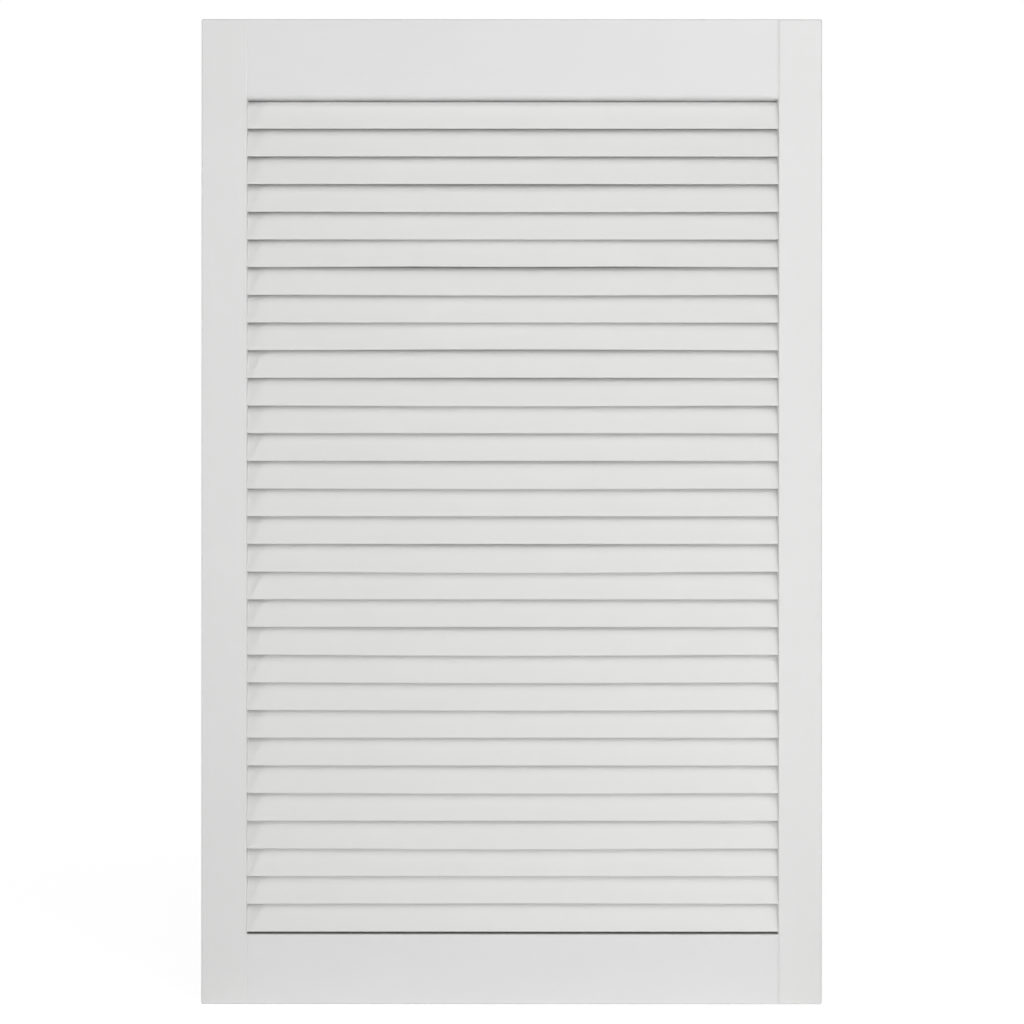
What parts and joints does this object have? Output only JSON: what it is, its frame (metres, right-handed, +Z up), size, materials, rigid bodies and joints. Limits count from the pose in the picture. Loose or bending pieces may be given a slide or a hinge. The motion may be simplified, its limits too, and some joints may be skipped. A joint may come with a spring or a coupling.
{
  "type": "louvred cabinet door",
  "caption": "Tall rectangular cupboard door: a painted wooden frame holding a closed column of level louvre slats that lean back, so air passes and the inside stays hidden.",
  "frame": {"origin": "middle of the bottom edge: centre of the door's width and thickness, at its lowest face", "axes": "+Z up the door, +X to the right as seen from the front, +Y from the front to the back"},
  "size_m": [0.594, 0.021, 0.943],
  "materials": {
    "white_paint": "satin off-white paint, sprayed on planed softwood",
    "beech": "bare beech, fluted"
  },
  "bodies": {
    "root": {"left_stile": "white_paint", "right_stile": "white_paint", "top_rail": "white_paint", "bottom_rail": "white_paint", "slat_01": "white_paint", "slat_02": "white_paint", "slat_03": "white_paint", "slat_04": "white_paint", "slat_05": "white_paint", "slat_06": "white_paint", "slat_07": "white_paint", "slat_08": "white_paint", "slat_09": "white_paint", "slat_10": "white_paint", "slat_11": "white_paint", "slat_12": "white_paint", "slat_13": "white_paint", "slat_14": "white_paint", "slat_15": "white_paint", "slat_16": "white_paint", "slat_17": "white_paint", "slat_18": "white_paint", "slat_19": "white_paint", "slat_20": "white_paint", "slat_21": "white_paint", "slat_22": "white_paint", "slat_23": "white_paint", "slat_24": "white_paint", "slat_25": "white_paint", "slat_26": "white_paint", "slat_27": "white_paint", "slat_28": "white_paint", "slat_29": "white_paint", "slat_30": "white_paint", "dowel_top_left_upper": "beech", "dowel_top_left_lower": "beech", "dowel_top_right_upper": "beech", "dowel_top_right_lower": "beech", "dowel_bottom_left_upper": "beech", "dowel_bottom_left_lower": "beech", "dowel_bottom_right_upper": "beech", "dowel_bottom_right_lower": "beech"}
  },
  "joints": []
}
